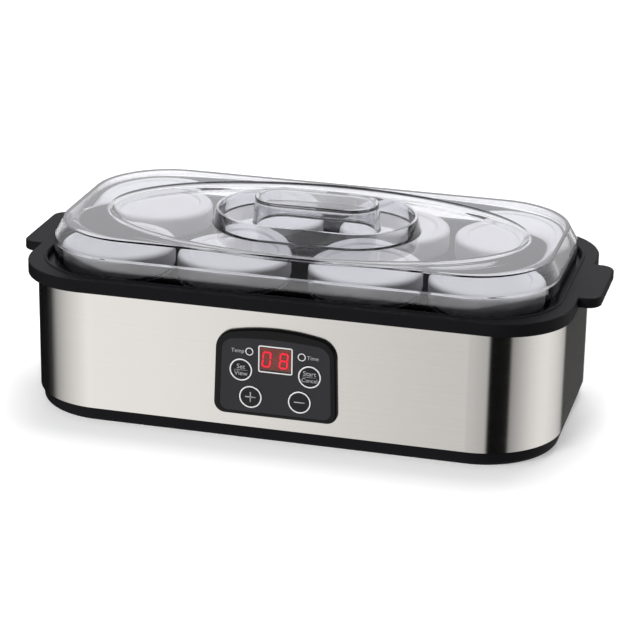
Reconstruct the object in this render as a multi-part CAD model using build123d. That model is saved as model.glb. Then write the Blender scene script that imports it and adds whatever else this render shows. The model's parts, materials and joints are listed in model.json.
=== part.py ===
from build123d import *
import math
import os

# Eight-jar yogurt maker: steel-banded housing with a heated tub, a control panel, jars and a clear lid.
# Millimetres, +Z up.  The origin is on the table at the centre of the footprint.
# The control panel faces -Y, and the two carrying handles are at the +X and -X ends.

# ---------------------------------------------------------------- driving sizes
# Jars and their white caps
CAP_DIAMETER = 71.5
CAP_HEIGHT = 14.0
CAP_PLATE = 2.6
CAP_WALL = 2.0
CAP_EDGE = 3.5
CAP_DISH_DIAMETER = 55.6
CAP_DISH_DEPTH = 1.2
CAP_DISH_SLOPE = 1.2
JAR_DIAMETER = 70.0
JAR_HEIGHT = 74.0
JAR_GLASS = 3.0
JAR_BOTTOM = 4.0
JAR_FOOT_EDGE = 5.0
NECK_CLEARANCE = 0.3
NECK_SHOULDER = 0.5
NECK_ROUNDING = 0.8

# Layout of the jars in the tub: two rows of four, with an aisle in the middle
ROW_GAP = 7.5
COLUMN_GAP = 4.8
AISLE = 13.2
JAR_TUB_GAP = 2.7

# Tub
TUB_WALL = 2.0
TUB_FLOOR = 3.0
TUB_CORNER_SPARE = 2.25
TUB_FLANGE = 2.4
TUB_FLANGE_WIDTH = 5.2
TUB_FLANGE_SUNK = 1.1
JAR_SEAT_DEPTH = 1.0
JAR_SEAT_CLEARANCE = 1.2

# Steel band round the housing
STEEL = 0.6
END_SPACE = 10.3
SIDE_SPACE = 11.6
BODY_CORNER = 51.0
HEM_WIDTH = 3.5
BAND_BOTTOM = 11.5
TUB_UNDERSIDE = 30.0
CAP_STANDOUT = 9.5

# Top rim with its handles
RIM_HEIGHT = 8.05
RIM_PLATE = 3.0
RIM_WALL = 2.2
RIM_CORNER = 46.0
RIM_OVERHANG_END = 4.6
RIM_OVERHANG_SIDE = 1.55
RIM_SKIRT_DEPTH = 9.0
RIM_SKIRT_WALL = 1.8
RIM_EDGE = 1.0
BAND_GAP = 0.3
BEAD_WIDTH = 1.7
BEAD_HEIGHT = 0.7
BEAD_INSET = 0.4
BEAD_EDGE = 0.56
HANDLE_REACH = 13.4
HANDLE_LENGTH = 66.0
HANDLE_THICKNESS = 6.5
HANDLE_CORNER = 9.0
HANDLE_EDGE = 1.2

# Base tray, feet and the four long screws
TRAY_INSET = 2.1
TRAY_CORNER = 49.0
TRAY_WALL = 2.5
TRAY_EDGE = 3.2
TRAY_LIP_HEIGHT = 6.5
TRAY_LIP_CLEARANCE = 0.2
FOOT_HEIGHT = 2.0
FOOT_DIAMETER = 16.0
FOOT_STUB = 6.0
FOOT_EDGE = 0.5
FOOT_INSET_X = 34.0
FOOT_INSET_Y = 30.0
VENT_LENGTH = 26.0
VENT_WIDTH = 3.0
VENT_PITCH = 9.0
VENT_COUNT = 7
PILLAR_DIAMETER = 6.4
PILLAR_TUB_GAP = 0.4
PILLAR_SPARE = 1.0
SCREW_DIAMETER = 2.6
SCREW_HEAD = 5.0
SCREW_HEAD_HEIGHT = 1.8
SCREW_HEAD_SINK = 1.2
SCREW_SLOT = 0.9
SCREW_SLOT_LENGTH = 3.5
SCREW_GRIP = 14.0
SCREW_TIP_GAP = 1.0
FIT = 0.05
LOOSE = 0.2
OVERCUT = 1.0

# Lid, one clear moulding
LID_WALL = 2.2
LID_RIM_GAP = 2.0
LID_SKIRT_HEIGHT = 16.3
LID_SLOPE_HEIGHT = 10.7
LID_SLOPE_END = 5.0
LID_SLOPE_SIDE = 6.0
LID_CORNER = 52.0
LID_CORNER_DRAW = 2.0
LID_TOP_EDGE = 1.6
RECESS_DEPTH = 4.0
RECESS_END_MARGIN = 21.0
RECESS_SIDE_MARGIN = 4.0
RIDGE_HEIGHT = 9.8
RIDGE_LENGTH = 130.0
RIDGE_DEPTH = 82.0
RIDGE_WALL = 2.4
RIDGE_FLARE = 2.5
RIDGE_EDGE = 0.8
GRIP_HEIGHT = 17.6
GRIP_LENGTH = 80.0
GRIP_DEPTH = 36.0
GRIP_FLARE = 1.5
GRIP_EDGE = 2.2

# Control panel on the front
PANEL_BOTTOM = 20.0
PANEL_CROWN = 78.0
PANEL_SHOULDER = 72.5
PANEL_HALF_BOTTOM = 39.6
PANEL_HALF_TOP = 38.0
PANEL_LOW_RADIUS = 7.0
PANEL_HIGH_RADIUS = 13.0
PANEL_PROUD = 2.6
PANEL_EDGE = 1.4
PLUG_INSET = 3.0
PLUG_DEPTH = 1.8
OVERLAY_INSET = 4.0
OVERLAY_THICKNESS = 0.5
OVERLAY_SUNK = 0.2
OVERLAY_BOTTOM = 22.4
OVERLAY_SHOULDER = 69.2
OVERLAY_CROWN = 71.5
OVERLAY_LOW_RADIUS = 5.0
OVERLAY_HIGH_RADIUS = 8.0
BUTTON_DIAMETER = 14.6
BUTTON_PROUD = 0.4
BUTTON_CAP = 2.0
BUTTON_EDGE = 0.5
BUTTON_STEM = 5.0
BUTTON_TRAVEL = 0.6
UPPER_BUTTONS = (21.8, 50.0)
LOWER_BUTTONS = (15.6, 32.6)
DISPLAY_CENTRE = 58.4
DISPLAY_WIDTH = 21.0
DISPLAY_HEIGHT = 16.6
WINDOW_THICKNESS = 1.2
MODULE_WIDTH = 20.0
MODULE_HEIGHT = 14.0
INDICATOR_PLACE = (16.6, 62.3)
INDICATOR_DIAMETER = 3.4
BOARD_SETBACK = 6.55
BOARD_THICKNESS = 1.6
BOARD_WIDTH = 62.0
BOARD_BOTTOM = 26.0
BOARD_TOP = 69.0
SWITCH_SIDE = 6.0
SWITCH_BODY = 2.6
SWITCH_PLUNGER = 3.4
SWITCH_REACH = 0.7
BOSS_DIAMETER = 5.0
BOSS_PLACES = ((28.0, 30.0), (28.0, 65.0))
RETAINER_WALL = 2.4
RETAINER_OVERLAP = 1.0
BOARD_SCREW = 2.0
BOARD_SCREW_HEAD = 4.0
BOARD_SCREW_HEAD_HEIGHT = 1.4

# Heater under the tub
PLATE_THICKNESS = 1.0
PLATE_MARGIN_X = 18.0
PLATE_MARGIN_Y = 16.0
PLATE_CORNER = 24.0
PEG_DIAMETER = 3.0
PEG_INSET = 12.0
PEG_STANDOUT = 1.0
NUT_DIAMETER = 9.0
NUT_THICKNESS = 0.8
ELEMENT_DIAMETER = 4.0
ELEMENT_HALF_SPAN = 40.0
ELEMENT_BEND = 30.0
ELEMENT_FAR = -124.0
ELEMENT_NEAR = 96.0
ELEMENT_SEAT = 0.1
CLIP_WIDTH = 8.0
CLIP_STRIP = 0.8
CLIP_FOOT = 6.0
CLIP_SETBACK = 20.0
FERRULE_DIAMETER = 4.0
FERRULE_LENGTH = 9.0
LEAD_DIAMETER = 2.0
LEAD_STRAIGHT = 12.0
FUSE_X = -20.0
FUSE_LENGTH = 14.0
FUSE_EDGE = 0.6
SENSOR_X = -60.0
SENSOR_LENGTH = 12.0
SENSOR_TIP = 1.5
SENSOR_LEAD_STEP = (10.0, 6.0, 4.0)
SENSOR_LEAD_INSET = 8.0

# Power board in the base
POWER_LENGTH = 84.0
POWER_DEPTH = 56.0
POWER_CENTRE = (30.0, -14.0)
POWER_STANDOFF = 4.0
POWER_POST = 6.0
POWER_HOLE_INSET = 4.0
RIBBON_WIDTH = 12.0
RIBBON_THICKNESS = 1.0
RIBBON_BEND = 5.0
RIBBON_LIFT = 1.0
HEADER_SPARE = 3.0
HEADER_WIDTH = 5.0
HEADER_DEPTH = 2.6
HEADER_X = 14.0
HEADER_Y = -34.0
HEADER_TOP = 8.0
PANEL_HEADER_LOW = 30.0
PANEL_HEADER_HIGH = 38.0
TERMINAL_DX = 34.0
TERMINAL_DY = 6.0
TERMINAL_SIZE = (12.0, 20.0, 10.0)
TERMINAL_EDGE = 0.6
TERMINAL_WELL = 3.6
# Components as (x and y from the board's centre, length, depth, height)
RELAY = (-18.0, 12.0, 19.0, 15.5, 11.0)
TRANSFORMER = (6.0, 8.0, 23.0, 21.0, 12.5)
CAPACITOR = (22.0, -12.0, 15.0, 7.0, 11.0)
COMPONENT_EDGE = 0.8

# Mains-cord gland in the rear wall
GLAND_PLACE = (112.0, 27.0)
GLAND_BORE = 6.6
GLAND_BODY = 11.6
GLAND_FLANGE = 16.0
GLAND_INNER_FLANGE = 15.0
GLAND_PROUD = 3.0
GLAND_INSIDE = 2.6
GLAND_EDGE = 1.2

# ---------------------------------------------------------------- worked-out places
cap_radius = CAP_DIAMETER / 2
jar_radius = JAR_DIAMETER / 2
inner_column = (AISLE + CAP_DIAMETER) / 2
outer_column = inner_column + CAP_DIAMETER + COLUMN_GAP
row = (ROW_GAP + CAP_DIAMETER) / 2
columns = (-outer_column, -inner_column, inner_column, outer_column)
jar_places = [(x, y) for y in (-row, row) for x in columns]

tub_half_x = outer_column + cap_radius + JAR_TUB_GAP
tub_half_y = row + cap_radius + JAR_TUB_GAP
tub_corner = cap_radius + TUB_CORNER_SPARE
tub_outer_x = tub_half_x + TUB_WALL
tub_outer_y = tub_half_y + TUB_WALL
tub_floor_top = TUB_UNDERSIDE + TUB_FLOOR
jar_floor = tub_floor_top - JAR_SEAT_DEPTH
cap_top = jar_floor + JAR_HEIGHT
cap_bottom = cap_top - CAP_HEIGHT

body_x = tub_outer_x + END_SPACE + STEEL
body_y = tub_outer_y + SIDE_SPACE + STEEL
rim_top = cap_top - CAP_STANDOUT
rim_bottom = rim_top - RIM_HEIGHT
band_top = rim_bottom - BAND_GAP
rim_x = body_x + RIM_OVERHANG_END
rim_y = body_y + RIM_OVERHANG_SIDE

tub_flange_x = tub_outer_x + TUB_FLANGE_WIDTH
tub_flange_y = tub_outer_y + TUB_FLANGE_WIDTH
well_x = tub_flange_x + LOOSE
well_y = tub_flange_y + LOOSE
well_corner = tub_corner + TUB_WALL + TUB_FLANGE_WIDTH
seat_level = rim_top - RIM_PLATE - TUB_FLANGE - TUB_FLANGE_SUNK
flange_top = seat_level + TUB_FLANGE

lid_x = well_x - LID_RIM_GAP
lid_y = well_y - LID_RIM_GAP
lid_shoulder = flange_top + LID_SKIRT_HEIGHT
lid_top = lid_shoulder + LID_SLOPE_HEIGHT
recess_floor = lid_top - RECESS_DEPTH
recess_x = lid_x - LID_SLOPE_END - RECESS_END_MARGIN
recess_y = lid_y - LID_SLOPE_SIDE - RECESS_SIDE_MARGIN

tray_bottom = FOOT_HEIGHT
tray_floor = tray_bottom + TRAY_WALL
tray_x = body_x - TRAY_INSET
tray_y = body_y - TRAY_INSET

front = -body_y
panel_face = front - PANEL_PROUD
overlay_back = panel_face + OVERLAY_SUNK + OVERLAY_THICKNESS
overlay_face = panel_face + OVERLAY_SUNK
plug_back = front + PLUG_DEPTH
button_face = panel_face - BUTTON_PROUD
button_back = button_face + BUTTON_CAP
pocket_floor = button_back + BUTTON_TRAVEL + FIT
board_front = front + STEEL + BOARD_SETBACK
board_back = board_front + BOARD_THICKNESS
switch_tip = board_front - SWITCH_BODY - SWITCH_REACH
stem_end = switch_tip - BUTTON_TRAVEL - FIT
button_places = {
    "button_set": (-UPPER_BUTTONS[0], UPPER_BUTTONS[1]),
    "button_start": UPPER_BUTTONS,
    "button_plus": (-LOWER_BUTTONS[0], LOWER_BUTTONS[1]),
    "button_minus": LOWER_BUTTONS,
}
boss_places = [(side * x, z) for x, z in BOSS_PLACES for side in (-1, 1)]

plate_level = TUB_UNDERSIDE - PLATE_THICKNESS
element_level = plate_level - ELEMENT_SEAT - ELEMENT_DIAMETER / 2
power_level = tray_floor + POWER_STANDOFF
power_top = power_level + BOARD_THICKNESS


# ---------------------------------------------------------------- shared shapes
def slab(half_x, half_y, corner, low, high):
    """Upright slab with a rounded-rectangle plan, centred on the Z axis."""
    plan = RectangleRounded(2 * half_x, 2 * half_y, corner)
    return Pos(0, 0, low) * extrude(plan, high - low)


def rod(x, y, low, high, diameter):
    """Upright round rod."""
    return Pos(x, y, (low + high) / 2) * Cylinder(diameter / 2, high - low)


def rod_y(x, z, near, far, diameter):
    """Round rod along Y from near to far."""
    return Pos(x, (near + far) / 2, z) * Rot(90, 0, 0) * Cylinder(diameter / 2, far - near)


def rod_x(centre_x, y, z, length, diameter):
    """Round rod along X."""
    return Pos(centre_x, y, z) * Rot(0, 90, 0) * Cylinder(diameter / 2, length)


def block(x, y, low, high, length, depth):
    """Upright block about the point (x, y)."""
    return Pos(x, y, (low + high) / 2) * Box(length, depth, high - low)


def front_sheet(plan, near, far):
    """Plan drawn in X and Z, made solid between two Y values, near being the more negative."""
    plane = Plane(origin=(0, far, 0), x_dir=(1, 0, 0), z_dir=(0, -1, 0))
    return extrude(plane * plan, far - near)


def stadium(length, depth):
    """Plan with straight sides and half-round ends."""
    return SlotOverall(length, depth)


def tapered(low_plan, high_plan, low, high):
    """Solid whose plan changes evenly from one level to another."""
    return loft([Pos(0, 0, low) * low_plan, Pos(0, 0, high) * high_plan])


def arched_plan(half_bottom, half_top, bottom, shoulder, crown, low_radius, high_radius):
    """Panel outline: flat bottom, slightly leaning sides and a shallow arch along the top."""
    outline = Curve() + [
        Line((-half_bottom, bottom), (half_bottom, bottom)),
        Line((half_bottom, bottom), (half_top, shoulder)),
        ThreePointArc((half_top, shoulder), (0, crown), (-half_top, shoulder)),
        Line((-half_top, shoulder), (-half_bottom, bottom)),
    ]
    plan = make_face(outline)
    plan = fillet(plan.vertices().sort_by(Axis.Y)[-2:], high_radius)
    return fillet(plan.vertices().sort_by(Axis.Y)[:2], low_radius)


def panel_plan(inset):
    """Outline of the control bezel, drawn in by an inset."""
    return arched_plan(
        PANEL_HALF_BOTTOM - inset,
        PANEL_HALF_TOP - inset,
        PANEL_BOTTOM + inset,
        PANEL_SHOULDER - inset,
        PANEL_CROWN - inset,
        PANEL_LOW_RADIUS - inset / 2,
        PANEL_HIGH_RADIUS - inset,
    )


def wire(points, diameter):
    """Round wire of straight runs joined by arcs, each arc 0.45 of its shorter run."""
    corners = [Vector(*point) for point in points]
    runs = [b - a for a, b in zip(corners, corners[1:])]
    radii = []
    for before, after in zip(runs, runs[1:]):
        turn = before.get_angle(after)
        reach = 0.45 * min(before.length, after.length)
        radii.append(reach / math.tan(math.radians(turn / 2)))
    path = FilletPolyline(*points, radius=radii)
    start = Plane(origin=path @ 0, z_dir=path % 0)
    return sweep(start * Circle(diameter / 2), path=path)


# ---------------------------------------------------------------- housing
def make_steel_band():
    """Steel sheet wrapped round the housing, with a hem turned in along the bottom edge."""
    inner = slab(body_x - STEEL, body_y - STEEL, BODY_CORNER - STEEL, BAND_BOTTOM, band_top)
    band = slab(body_x, body_y, BODY_CORNER, BAND_BOTTOM, band_top) - inner
    hem = slab(body_x - STEEL, body_y - STEEL, BODY_CORNER - STEEL, BAND_BOTTOM, BAND_BOTTOM + STEEL)
    inner_corner = BODY_CORNER - HEM_WIDTH
    hem -= slab(body_x - HEM_WIDTH, body_y - HEM_WIDTH, inner_corner, BAND_BOTTOM, BAND_BOTTOM + STEEL)
    band += hem
    band -= front_sheet(panel_plan(PLUG_INSET - LOOSE), front - STEEL, front + 2 * STEEL)
    x, z = GLAND_PLACE
    return band - rod_y(x, z, body_y - 2 * STEEL, body_y + STEEL, GLAND_BODY + 2 * LOOSE)


def pillar_places():
    """Centres of the four screw pillars, close outside the rounded corners of the tub."""
    centre_x = tub_half_x - tub_corner
    centre_y = tub_half_y - tub_corner
    reach = (tub_corner + TUB_WALL + PILLAR_TUB_GAP + PILLAR_DIAMETER / 2) * math.sqrt(0.5)
    return [(sx * (centre_x + reach), sy * (centre_y + reach)) for sx in (-1, 1) for sy in (-1, 1)]


def make_rim_frame():
    """Black top rim: flat flange, turned-down face, skirt inside the steel, tub seat and two handles."""
    rim = slab(rim_x, rim_y, RIM_CORNER, rim_bottom, rim_top)
    rim = fillet(rim.edges().group_by(Axis.Z)[-1], RIM_EDGE)
    handles = Pos(0, 0, rim_top - HANDLE_THICKNESS) * extrude(
        RectangleRounded(2 * (rim_x + HANDLE_REACH), HANDLE_LENGTH, HANDLE_CORNER), HANDLE_THICKNESS
    )
    handles = fillet(handles.edges().filter_by(Plane.XY), HANDLE_EDGE)
    rim += handles
    hollow = slab(rim_x - RIM_WALL, rim_y - RIM_WALL, RIM_CORNER - RIM_WALL, rim_bottom, rim_top - RIM_PLATE)
    hollow -= slab(body_x - STEEL - LOOSE, body_y - STEEL - LOOSE, BODY_CORNER - STEEL, rim_bottom, rim_top)
    hollow -= Box(4 * rim_x, HANDLE_LENGTH, 4 * rim_top)
    rim -= hollow
    skirt = slab(body_x - STEEL - LOOSE, body_y - STEEL - LOOSE, BODY_CORNER - STEEL - LOOSE,
                 rim_bottom - RIM_SKIRT_DEPTH, rim_bottom)
    inner_x = body_x - STEEL - LOOSE - RIM_SKIRT_WALL
    inner_y = body_y - STEEL - LOOSE - RIM_SKIRT_WALL
    inner_corner = BODY_CORNER - STEEL - LOOSE - RIM_SKIRT_WALL
    skirt -= slab(inner_x, inner_y, inner_corner, rim_bottom - RIM_SKIRT_DEPTH, rim_bottom)
    rim += skirt
    rim -= slab(well_x, well_y, well_corner, seat_level, rim_top)
    rim -= slab(tub_outer_x + LOOSE, tub_outer_y + LOOSE, tub_corner + TUB_WALL + LOOSE, 0, rim_top)
    bead_x = well_x + BEAD_INSET + BEAD_WIDTH
    bead_y = well_y + BEAD_INSET + BEAD_WIDTH
    bead_corner = well_corner + BEAD_INSET + BEAD_WIDTH
    bead = slab(bead_x, bead_y, bead_corner, rim_top - BEAD_HEIGHT, rim_top + BEAD_HEIGHT)
    bead -= slab(bead_x - BEAD_WIDTH, bead_y - BEAD_WIDTH, bead_corner - BEAD_WIDTH,
                 rim_top - BEAD_HEIGHT, rim_top + BEAD_HEIGHT)
    bead = fillet(bead.edges().group_by(Axis.Z)[-1], BEAD_EDGE)
    rim += bead
    for x, y in pillar_places():
        rim += rod(x, y, tray_floor, seat_level, PILLAR_DIAMETER)
        rim -= rod(x, y, 0, tray_floor + SCREW_GRIP, SCREW_DIAMETER + 2 * FIT)
    return rim


def make_inner_tub():
    """Open tub with a round seat for each jar, a flange that hangs in the rim and four heater pegs."""
    tub = slab(tub_outer_x, tub_outer_y, tub_corner + TUB_WALL, TUB_UNDERSIDE, flange_top)
    tub = fillet(tub.edges().group_by(Axis.Z)[0], 2 * TUB_WALL)
    tub += slab(tub_flange_x, tub_flange_y, well_corner, seat_level, flange_top)
    cavity = slab(tub_half_x, tub_half_y, tub_corner, tub_floor_top, flange_top)
    tub -= fillet(cavity.edges().group_by(Axis.Z)[0], TUB_WALL)
    for x, y in jar_places:
        tub -= rod(x, y, jar_floor, tub_floor_top, JAR_DIAMETER + 2 * JAR_SEAT_CLEARANCE)
    for x, y in peg_places():
        tub += rod(x, y, plate_level - NUT_THICKNESS - PEG_STANDOUT, TUB_UNDERSIDE, PEG_DIAMETER)
    return tub


def make_base_tray():
    """Bottom tray: rounded lower edge, lip inside the steel, vents, board posts and screw holes."""
    tray = slab(tray_x, tray_y, TRAY_CORNER, tray_bottom, BAND_BOTTOM)
    tray = fillet(tray.edges().group_by(Axis.Z)[0], TRAY_EDGE)
    lip_x = body_x - HEM_WIDTH - TRAY_LIP_CLEARANCE
    lip_y = body_y - HEM_WIDTH - TRAY_LIP_CLEARANCE
    lip_corner = BODY_CORNER - HEM_WIDTH - TRAY_LIP_CLEARANCE
    tray += slab(lip_x, lip_y, lip_corner, tray_floor, BAND_BOTTOM + TRAY_LIP_HEIGHT)
    tray -= slab(lip_x - TRAY_WALL, lip_y - TRAY_WALL, lip_corner - TRAY_WALL,
                 tray_floor, BAND_BOTTOM + TRAY_LIP_HEIGHT)
    for x, y in power_holes():
        tray += rod(x, y, tray_floor, power_level, POWER_POST)
        tray -= rod(x, y, tray_floor - OVERCUT, power_level, BOARD_SCREW + 2 * FIT)
    for x, y in pillar_places():
        tray -= rod(x, y, tray_floor, BAND_BOTTOM + TRAY_LIP_HEIGHT, PILLAR_DIAMETER + 2 * PILLAR_SPARE)
        tray -= rod(x, y, tray_bottom, tray_bottom + SCREW_HEAD_SINK, SCREW_HEAD + 2 * LOOSE)
        tray -= rod(x, y, tray_bottom, tray_floor, SCREW_DIAMETER + 2 * LOOSE)
    for x, y in foot_places():
        tray -= rod(x, y, tray_bottom, tray_floor, FOOT_STUB + 2 * FIT)
    first = -VENT_PITCH * (VENT_COUNT - 1) / 2
    for index in range(VENT_COUNT):
        for side in (-1, 1):
            x = side * (tray_x / 2) + first + index * VENT_PITCH
            y = (tray_y + POWER_DEPTH / 2) / 2
            vent = Rot(0, 0, 90) * SlotOverall(VENT_LENGTH, VENT_WIDTH)
            tray -= Pos(x, y, tray_bottom) * extrude(vent, TRAY_WALL)
    return tray


def foot_places():
    """Centres of the four rubber feet."""
    return [(sx * (tray_x - FOOT_INSET_X), sy * (tray_y - FOOT_INSET_Y)) for sx in (-1, 1) for sy in (-1, 1)]


def make_rubber_feet():
    """Four round feet, each with a stub that plugs into the tray."""
    feet = []
    for x, y in foot_places():
        foot = rod(x, y, 0, FOOT_HEIGHT, FOOT_DIAMETER)
        foot = fillet(foot.edges().group_by(Axis.Z)[0], FOOT_EDGE)
        feet.append(foot + rod(x, y, FOOT_HEIGHT, tray_floor, FOOT_STUB))
    return Compound(children=feet)


def make_base_screws():
    """Four pan-head screws that clamp the tray to the rim pillars, with a cross slot."""
    screws = []
    seat = tray_bottom + SCREW_HEAD_SINK
    head = seat - SCREW_HEAD_HEIGHT
    for x, y in pillar_places():
        screw = rod(x, y, head, seat, SCREW_HEAD)
        screw += rod(x, y, seat, tray_floor + SCREW_GRIP - SCREW_TIP_GAP, SCREW_DIAMETER)
        for turn in (0, 90):
            slot = Rot(0, 0, turn) * Box(SCREW_SLOT_LENGTH, SCREW_SLOT, SCREW_HEAD_HEIGHT)
            screw -= Pos(x, y, head) * slot
        screws.append(screw)
    return Compound(children=screws)


def make_cord_gland():
    """Flanged rubber bush in the rear wall, where the mains cord enters."""
    x, z = GLAND_PLACE
    outside = body_y + GLAND_PROUD
    inside = body_y - STEEL - GLAND_INSIDE
    gland = rod_y(x, z, body_y, outside, GLAND_FLANGE)
    gland = fillet(gland.edges().group_by(Axis.Y)[-1], GLAND_EDGE)
    gland += rod_y(x, z, body_y - STEEL, body_y, GLAND_BODY)
    gland += rod_y(x, z, inside, body_y - STEEL, GLAND_INNER_FLANGE)
    return gland - rod_y(x, z, inside, outside, GLAND_BORE)


# ---------------------------------------------------------------- heater
def plate_half():
    """Half sizes of the heater plate."""
    return tub_outer_x - PLATE_MARGIN_X, tub_outer_y - PLATE_MARGIN_Y


def peg_places():
    """Centres of the four pegs that hold the heater plate."""
    half_x, half_y = plate_half()
    return [(sx * (half_x - PEG_INSET), sy * (half_y - PEG_INSET)) for sx in (-1, 1) for sy in (-1, 1)]


def make_heater_plate():
    """Aluminium plate that spreads the heat under the tub floor."""
    half_x, half_y = plate_half()
    plate = slab(half_x, half_y, PLATE_CORNER, plate_level, TUB_UNDERSIDE)
    for x, y in peg_places():
        plate -= rod(x, y, plate_level, TUB_UNDERSIDE, PEG_DIAMETER + 2 * LOOSE)
    return plate


def make_push_nuts():
    """Four spring-steel push nuts on the pegs."""
    nuts = []
    for x, y in peg_places():
        nut = rod(x, y, plate_level - NUT_THICKNESS, plate_level, NUT_DIAMETER)
        nuts.append(nut - rod(x, y, plate_level - NUT_THICKNESS, plate_level, PEG_DIAMETER + 2 * FIT))
    return Compound(children=nuts)


def make_heating_element():
    """Sheathed heating rod bent into one long hairpin."""
    span = ELEMENT_HALF_SPAN
    points = [
        (ELEMENT_NEAR, -span, element_level),
        (ELEMENT_FAR, -span, element_level),
        (ELEMENT_FAR, span, element_level),
        (ELEMENT_NEAR, span, element_level),
    ]
    path = FilletPolyline(*points, radius=ELEMENT_BEND)
    start = Plane(origin=path @ 0, z_dir=path % 0)
    return sweep(start * Circle(ELEMENT_DIAMETER / 2), path=path)


def strap(x, y, diameter):
    """Bent strip that holds a rod lying along X against the heater plate."""
    inner = diameter / 2 + LOOSE
    outer = inner + CLIP_STRIP
    drop = plate_level - element_level
    arch = Pos(0, -drop) * Circle(outer)
    arch += Pos(0, -drop / 2) * Rectangle(2 * outer, drop)
    arch += Pos(0, -CLIP_STRIP / 2) * Rectangle(2 * (outer + CLIP_FOOT), CLIP_STRIP)
    arch -= Pos(0, -drop) * Circle(inner)
    arch -= Pos(0, -drop / 2) * Rectangle(2 * inner, drop)
    arch &= Pos(0, -outer - drop) * Rectangle(4 * (outer + CLIP_FOOT), 2 * (outer + drop))
    plane = Plane(origin=(x - CLIP_WIDTH / 2, y, plate_level), x_dir=(0, 1, 0), z_dir=(1, 0, 0))
    return extrude(plane * arch, CLIP_WIDTH)


def make_element_clips():
    """Straps along both legs of the hairpin."""
    stations = (ELEMENT_FAR / 2, 0, ELEMENT_NEAR - CLIP_SETBACK)
    places = [(x, side * ELEMENT_HALF_SPAN) for x in stations for side in (-1, 1)]
    return Compound(children=[strap(x, y, ELEMENT_DIAMETER) for x, y in places])


def make_thermal_fuse():
    """One-shot thermal fuse, lying against the plate."""
    fuse = rod_x(FUSE_X, 0, element_level, FUSE_LENGTH, ELEMENT_DIAMETER)
    return fillet(fuse.edges(), FUSE_EDGE)


def make_temperature_sensor():
    """Glass-sleeved temperature probe, lying against the plate."""
    probe = rod_x(SENSOR_X, 0, element_level, SENSOR_LENGTH, ELEMENT_DIAMETER)
    return fillet(probe.edges().group_by(Axis.X)[0], SENSOR_TIP)


def make_sensor_clips():
    """Straps that hold the fuse and the probe."""
    return Compound(children=[strap(x, 0, ELEMENT_DIAMETER) for x in (FUSE_X, SENSOR_X)])


def make_ferrules():
    """Two crimp sleeves between the element ends and their leads."""
    x = ELEMENT_NEAR + FERRULE_LENGTH / 2
    legs = (-ELEMENT_HALF_SPAN, ELEMENT_HALF_SPAN)
    return Compound(children=[rod_x(x, y, element_level, FERRULE_LENGTH, FERRULE_DIAMETER) for y in legs])


def make_heater_leads():
    """Two leads from the crimp sleeves to the terminal block."""
    leads = []
    start_x = ELEMENT_NEAR + FERRULE_LENGTH
    turn_x = start_x + LEAD_STRAIGHT
    for side, way_in in zip((-1, 1), terminal_entries()):
        leads.append(wire([
            (start_x, side * ELEMENT_HALF_SPAN, element_level),
            (turn_x, side * ELEMENT_HALF_SPAN, element_level),
            (turn_x, way_in[1], way_in[2]),
            way_in,
        ], LEAD_DIAMETER))
    return Compound(children=leads)


# ---------------------------------------------------------------- power board
def power_holes():
    """Centres of the four mounting holes of the power board."""
    x, y = POWER_CENTRE
    dx = POWER_LENGTH / 2 - POWER_HOLE_INSET
    dy = POWER_DEPTH / 2 - POWER_HOLE_INSET
    return [(x + sx * dx, y + sy * dy) for sx in (-1, 1) for sy in (-1, 1)]


def make_power_board():
    """Printed circuit board on four posts of the tray."""
    board = block(*POWER_CENTRE, power_level, power_top, POWER_LENGTH, POWER_DEPTH)
    for x, y in power_holes():
        board -= rod(x, y, power_level, power_top, BOARD_SCREW + 2 * LOOSE)
    return board


def make_power_screws():
    """Four screws of the power board."""
    screws = []
    for x, y in power_holes():
        screw = rod(x, y, power_top, power_top + BOARD_SCREW_HEAD_HEIGHT, BOARD_SCREW_HEAD)
        screws.append(screw + rod(x, y, tray_floor, power_top, BOARD_SCREW))
    return Compound(children=screws)


def on_board(dx, dy, length, depth, height, edge):
    """Component standing on the power board, with its upper edges rounded."""
    x, y = POWER_CENTRE
    part = block(x + dx, y + dy, power_top, power_top + height, length, depth)
    return fillet(part.edges().group_by(Axis.Z)[-1], edge)


def terminal_entries():
    """Where the two heater leads enter the terminal block."""
    face = POWER_CENTRE[0] + TERMINAL_DX + TERMINAL_SIZE[0] / 2
    level = power_top + TERMINAL_SIZE[2] / 2
    middle = POWER_CENTRE[1] + TERMINAL_DY
    pitch = TERMINAL_SIZE[1] / 4
    return [(face, middle - pitch, level), (face, middle + pitch, level)]


def make_terminal_block():
    """Screw terminal block, with two open screw wells."""
    part = on_board(TERMINAL_DX, TERMINAL_DY, *TERMINAL_SIZE, TERMINAL_EDGE)
    for x, y, z in terminal_entries():
        part -= rod(x - TERMINAL_SIZE[0] / 2, y, z, power_top + TERMINAL_SIZE[2], TERMINAL_WELL)
    return part


def make_ribbon_headers():
    """Ribbon sockets on the power board and on the back of the control board."""
    length = RIBBON_WIDTH + HEADER_SPARE
    low = block(HEADER_X, HEADER_Y, power_top, power_top + HEADER_TOP, length, HEADER_WIDTH)
    high_y = board_back + HEADER_DEPTH / 2
    high = block(HEADER_X, high_y, PANEL_HEADER_LOW, PANEL_HEADER_HIGH, length, HEADER_DEPTH)
    return Compound(children=[low, high])


def make_ribbon_cable():
    """Flat cable from the control board down to the power board."""
    y = board_back + HEADER_DEPTH / 2
    level = power_top + HEADER_TOP + RIBBON_BEND + RIBBON_LIFT
    path = FilletPolyline(
        (HEADER_X, y, PANEL_HEADER_LOW),
        (HEADER_X, y, level),
        (HEADER_X, HEADER_Y, level),
        (HEADER_X, HEADER_Y, power_top + HEADER_TOP),
        radius=RIBBON_BEND,
    )
    start = Plane(origin=path @ 0, x_dir=(1, 0, 0), z_dir=(0, 0, -1))
    return sweep(start * Rectangle(RIBBON_WIDTH, RIBBON_THICKNESS), path=path)


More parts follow.
